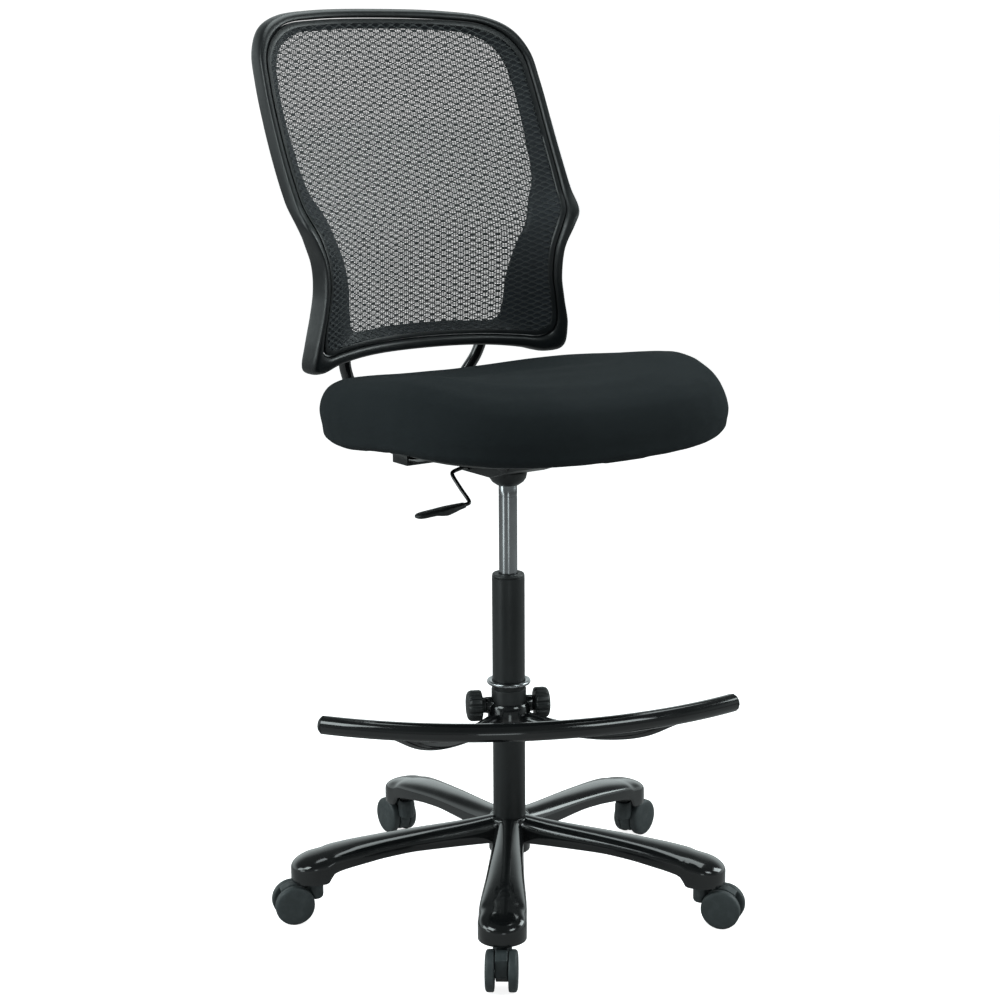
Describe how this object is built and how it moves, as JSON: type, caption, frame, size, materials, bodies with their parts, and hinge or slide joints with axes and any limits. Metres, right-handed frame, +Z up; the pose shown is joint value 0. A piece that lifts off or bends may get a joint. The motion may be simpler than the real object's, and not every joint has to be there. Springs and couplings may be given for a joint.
{
  "type": "drafting chair",
  "caption": "Tall drafting chair with a mesh back, padded seat, gas lift, clamped footrest ring bar and a star base on twin-wheel casters.",
  "frame": {"origin": "on the floor, under the middle of the chair's bounding box at rest; the column's axis stands 3.2 mm to +X and 26.4 mm to -Y of it", "axes": "+Z up, -Y the way the sitter faces, +X the sitter's left hand"},
  "size_m": [0.7302, 0.702, 1.3603],
  "materials": {
    "base_steel": "gloss black powder coat on pressed steel",
    "column_steel": "satin black paint",
    "mechanism_steel": "satin black paint",
    "bright_steel": "ground bright steel",
    "hard_plastic": "fine-grained black moulding",
    "frame_plastic": "satin black moulding",
    "tread_plastic": "matte dark grey nylon",
    "back_mesh": "open black knitted mesh",
    "seat_cloth": "dense black knitted cloth"
  },
  "bodies": {
    "base": {"star_base": "base_steel", "column_tube": "column_steel", "guide_bush": "hard_plastic", "thrust_bearing": "bright_steel", "footrest_stop_ring": "bright_steel"},
    "caster_1": {"caster_1_stem": "bright_steel", "caster_1_hood": "tread_plastic", "caster_1_axle": "bright_steel"},
    "caster_1_left": {"caster_1_wheel_left": "tread_plastic"},
    "caster_1_right": {"caster_1_wheel_right": "tread_plastic"},
    "caster_2": {"caster_2_stem": "bright_steel", "caster_2_hood": "tread_plastic", "caster_2_axle": "bright_steel"},
    "caster_2_left": {"caster_2_wheel_left": "tread_plastic"},
    "caster_2_right": {"caster_2_wheel_right": "tread_plastic"},
    "caster_3": {"caster_3_stem": "bright_steel", "caster_3_hood": "tread_plastic", "caster_3_axle": "bright_steel"},
    "caster_3_left": {"caster_3_wheel_left": "tread_plastic"},
    "caster_3_right": {"caster_3_wheel_right": "tread_plastic"},
    "caster_4": {"caster_4_stem": "bright_steel", "caster_4_hood": "tread_plastic", "caster_4_axle": "bright_steel"},
    "caster_4_left": {"caster_4_wheel_left": "tread_plastic"},
    "caster_4_right": {"caster_4_wheel_right": "tread_plastic"},
    "caster_5": {"caster_5_stem": "bright_steel", "caster_5_hood": "tread_plastic", "caster_5_axle": "bright_steel"},
    "caster_5_left": {"caster_5_wheel_left": "tread_plastic"},
    "caster_5_right": {"caster_5_wheel_right": "tread_plastic"},
    "footrest_sleeve": {"footrest_sleeve": "hard_plastic"},
    "footrest": {"footrest_hub": "base_steel", "footrest_bar": "base_steel", "footrest_support_left": "base_steel", "footrest_support_right": "base_steel", "footrest_cap_left": "hard_plastic", "footrest_cap_right": "hard_plastic"},
    "footrest_knob_left": {"footrest_knob_left": "hard_plastic"},
    "footrest_knob_right": {"footrest_knob_right": "hard_plastic"},
    "spindle": {"piston_rod": "bright_steel", "retaining_clip": "bright_steel"},
    "lift": {"gas_cylinder": "bright_steel", "mechanism_housing": "mechanism_steel"},
    "release_button": {"release_button": "bright_steel"},
    "lever": {"lever_rod": "base_steel", "lever_paddle": "hard_plastic"},
    "seat": {"seat_cushion": "seat_cloth", "seat_pan": "hard_plastic", "seat_plate": "mechanism_steel", "tilt_pivot_pin": "bright_steel", "tilt_spring": "bright_steel", "back_bar_left": "base_steel", "back_bar_right": "base_steel", "back_bracket": "mechanism_steel", "back_frame": "frame_plastic", "back_rear_frame": "frame_plastic", "back_mesh_front": "back_mesh", "back_mesh_rear": "back_mesh"}
  },
  "joints": [
    {"name": "caster_1_swivel", "type": "hinge", "parent": "base", "child": "caster_1", "pos_m": [-0.1834, -0.27395, 0.05954], "axis": [0, 0, 1], "continuous": true},
    {"name": "caster_1_left_roll", "type": "hinge", "parent": "caster_1", "child": "caster_1_left", "pos_m": [-0.20326, -0.3003, 0.02954], "axis": [0.7986, -0.6018, 0], "continuous": true},
    {"name": "caster_1_right_roll", "type": "hinge", "parent": "caster_1", "child": "caster_1_right", "pos_m": [-0.20326, -0.3003, 0.02954], "axis": [0.7986, -0.6018, 0], "continuous": true},
    {"name": "caster_2_swivel", "type": "hinge", "parent": "base", "child": "caster_2", "pos_m": [0.18097, -0.28031, 0.05954], "axis": [0, 0, 1], "continuous": true},
    {"name": "caster_2_left_roll", "type": "hinge", "parent": "caster_2", "child": "caster_2_left", "pos_m": [0.1999, -0.30734, 0.02954], "axis": [0.8192, 0.5736, 0], "continuous": true},
    {"name": "caster_2_right_roll", "type": "hinge", "parent": "caster_2", "child": "caster_2_right", "pos_m": [0.1999, -0.30734, 0.02954], "axis": [0.8192, 0.5736, 0], "continuous": true},
    {"name": "caster_3_swivel", "type": "hinge", "parent": "base", "child": "caster_3", "pos_m": [0.29962, 0.06427, 0.05954], "axis": [0, 0, 1], "continuous": true},
    {"name": "caster_3_left_roll", "type": "hinge", "parent": "caster_3", "child": "caster_3_left", "pos_m": [0.33117, 0.07391, 0.02954], "axis": [-0.2924, 0.9563, 0], "continuous": true},
    {"name": "caster_3_right_roll", "type": "hinge", "parent": "caster_3", "child": "caster_3_right", "pos_m": [0.33117, 0.07391, 0.02954], "axis": [-0.2924, 0.9563, 0], "continuous": true},
    {"name": "caster_4_swivel", "type": "hinge", "parent": "base", "child": "caster_4", "pos_m": [0.00857, 0.28358, 0.05954], "axis": [0, 0, 1], "continuous": true},
    {"name": "caster_4_left_roll", "type": "hinge", "parent": "caster_4", "child": "caster_4_left", "pos_m": [0.00915, 0.31658, 0.02954], "axis": [-0.9998, 0.0175, 0], "continuous": true},
    {"name": "caster_4_right_roll", "type": "hinge", "parent": "caster_4", "child": "caster_4_right", "pos_m": [0.00915, 0.31658, 0.02954], "axis": [-0.9998, 0.0175, 0], "continuous": true},
    {"name": "caster_5_swivel", "type": "hinge", "parent": "base", "child": "caster_5", "pos_m": [-0.28995, 0.07456, 0.05954], "axis": [0, 0, 1], "continuous": true},
    {"name": "caster_5_left_roll", "type": "hinge", "parent": "caster_5", "child": "caster_5_left", "pos_m": [-0.32115, 0.0853, 0.02954], "axis": [-0.3256, -0.9455, 0], "continuous": true},
    {"name": "caster_5_right_roll", "type": "hinge", "parent": "caster_5", "child": "caster_5_right", "pos_m": [-0.32115, 0.0853, 0.02954], "axis": [-0.3256, -0.9455, 0], "continuous": true},
    {"name": "footrest_height", "type": "slide", "parent": "base", "child": "footrest_sleeve", "axis": [0, 0, 1], "range_m": [-0.13, 0.006]},
    {"name": "footrest_turn", "type": "hinge", "parent": "footrest_sleeve", "child": "footrest", "pos_m": [0.00316, -0.02637, 0.31254], "axis": [0, 0, 1], "continuous": true},
    {"name": "footrest_knob_left_turn", "type": "hinge", "parent": "footrest", "child": "footrest_knob_left", "pos_m": [0.04818, -0.04813, 0.31254], "axis": [0.9003, -0.4352, 0], "range_deg": [0, 540]},
    {"name": "footrest_knob_right_turn", "type": "hinge", "parent": "footrest", "child": "footrest_knob_right", "pos_m": [-0.04185, -0.00461, 0.31254], "axis": [-0.9003, 0.4352, 0], "range_deg": [0, 540]},
    {"name": "seat_swivel", "type": "hinge", "parent": "base", "child": "spindle", "pos_m": [0.00316, -0.02637, 0.08354], "axis": [0, 0, 1], "continuous": true},
    {"name": "seat_height", "type": "slide", "parent": "spindle", "child": "lift", "axis": [0, 0, 1], "range_m": [-0.13, 0]},
    {"name": "release_button_press", "type": "slide", "parent": "lift", "child": "release_button", "axis": [0, 0, 1], "range_m": [-0.0045, 0], "stiffness_N_per_m": 800},
    {"name": "lever_lift", "type": "hinge", "parent": "lift", "child": "lever", "pos_m": [-0.04534, 0.00313, 0.68714], "axis": [0, 1, 0], "range_deg": [0, 5], "stiffness_Nm_per_rad": 1.5, "springref_deg": -2.86},
    {"name": "seat_tilt", "type": "hinge", "parent": "lift", "child": "seat", "pos_m": [0.00316, -0.08637, 0.70654], "axis": [-1, 0, 0], "range_deg": [0, 12], "stiffness_Nm_per_rad": 160, "springref_deg": -22.92}
  ],
  "couplings": [
    {"joint": "release_button_press", "follows": "lever_lift", "m_per_rad": -0.048}
  ]
}
